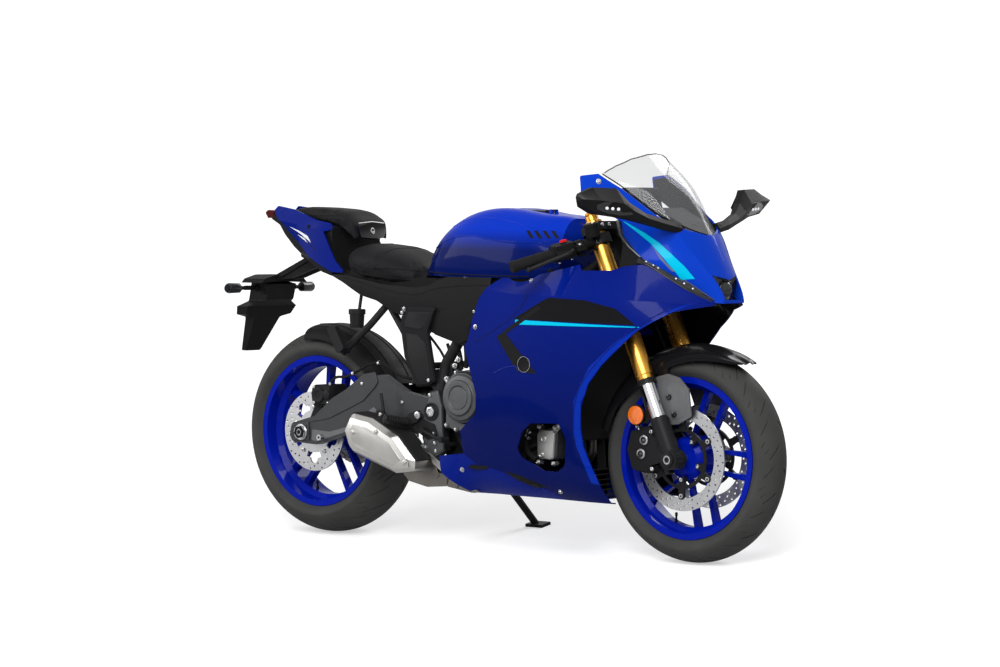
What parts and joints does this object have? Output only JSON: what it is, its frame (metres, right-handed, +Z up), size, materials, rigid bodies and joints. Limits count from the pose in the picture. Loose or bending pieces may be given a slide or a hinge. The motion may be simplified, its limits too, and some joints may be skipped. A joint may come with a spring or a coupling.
{
  "type": "sport bike",
  "caption": "Full-size sport motorcycle with full fairing, twin front discs and gold fork, parked leaning on its side stand.",
  "frame": {"origin": "on the floor under the middle of the parked bike", "axes": "+X forward, +Y to the rider's left, +Z up; the bike leans to +Y on its side stand"},
  "size_m": [2.0627, 0.8844, 1.1534],
  "materials": {
    "tyre": "matte black rubber",
    "wheel_blue": "gloss blue paint",
    "disc_steel": "ground steel",
    "dark_steel": "dark steel",
    "black_metal": "satin black paint",
    "stanchion_chrome": "hard chrome",
    "gold_anodised": "gold anodised",
    "axle_steel": "plated steel",
    "grip_rubber": "ribbed rubber",
    "gloss_black": "gloss black",
    "stay_grey": "satin grey",
    "arm_grey": "satin dark grey paint",
    "engine_black": "matte black cast case",
    "cover_grey": "satin grey cast cover",
    "silencer_steel": "brushed stainless",
    "pipe_steel": "heat-darkened steel",
    "seat_vinyl": "grained black vinyl",
    "blue_paint": "gloss metallic blue",
    "tank_blue": "gloss metallic blue",
    "black_plastic": "textured black plastic",
    "lamp_red": "dark red lens",
    "lamp_glass": "dark lamp face",
    "screen_clear": "lightly smoked screen"
  },
  "bodies": {
    "root": {"swingarm": "arm_grey", "rear_axle": "axle_steel", "spool_bosses": "axle_steel", "rear_caliper": "black_metal", "chain": "dark_steel", "rear_hugger": "black_plastic", "rear_shock": "dark_steel", "engine_block": "engine_black", "engine_covers": "cover_grey", "radiator": "engine_black", "frame": "black_metal", "subframe": "black_metal", "fuel_tank": "tank_blue", "side_fairings": "blue_paint", "belly_pan": "blue_paint", "nose_cowl": "blue_paint", "windscreen": "screen_clear", "lamp_panels": "black_plastic", "headlamp": "lamp_glass", "cockpit": "black_plastic", "mirrors": "black_plastic", "footrests": "black_metal", "rider_seat": "seat_vinyl", "pillion_seat": "seat_vinyl", "tail_sides": "blue_paint", "tail_tray": "black_plastic", "tail_lamp": "lamp_red", "plate_bracket": "black_plastic", "side_covers": "black_plastic", "frame_covers": "stay_grey", "silencer": "silencer_steel", "exhaust_pipes": "pipe_steel"},
    "steering": {"fork_bottoms": "black_metal", "fork_stanchions": "stanchion_chrome", "fork_tubes": "gold_anodised", "triple_clamps": "black_metal", "front_axle": "axle_steel", "front_calipers": "black_metal", "handlebars": "black_metal", "grips": "grip_rubber", "front_fender": "gloss_black", "fender_stays": "stay_grey"},
    "front_wheel": {"front_tyre": "tyre", "front_rim": "wheel_blue", "front_discs": "disc_steel"},
    "rear_wheel": {"rear_tyre": "tyre", "rear_rim": "wheel_blue", "rear_disc": "disc_steel", "rear_sprocket": "dark_steel"},
    "stand": {"side_stand": "black_metal"},
    "cap": {"fuel_cap": "black_metal"}
  },
  "joints": [
    {"name": "rear_wheel_spin", "type": "hinge", "parent": "root", "child": "rear_wheel", "pos_m": [-0.66362, -0.1252, 0.31178], "axis": [-0.0002, 0.9848, -0.1736], "continuous": true},
    {"name": "steering", "type": "hinge", "parent": "root", "child": "steering", "pos_m": [0.41447, -0.01814, 0.91777], "axis": [-0.401, 0.159, 0.9022], "range_deg": [-27, 27]},
    {"name": "front_wheel_spin", "type": "hinge", "parent": "steering", "child": "front_wheel", "pos_m": [0.73137, -0.12763, 0.29647], "axis": [-0.0002, 0.9848, -0.1736], "continuous": true},
    {"name": "side_stand_fold", "type": "hinge", "parent": "root", "child": "stand", "pos_m": [-0.11175, -0.01773, 0.18358], "axis": [-0.0568, 0.9569, 0.2847], "range_deg": [0, 94]},
    {"name": "fuel_cap_lid", "type": "hinge", "parent": "root", "child": "cap", "pos_m": [0.20512, -0.00608, 0.98641], "axis": [-0.0002, 0.9848, -0.1736], "range_deg": [0, 100]}
  ]
}
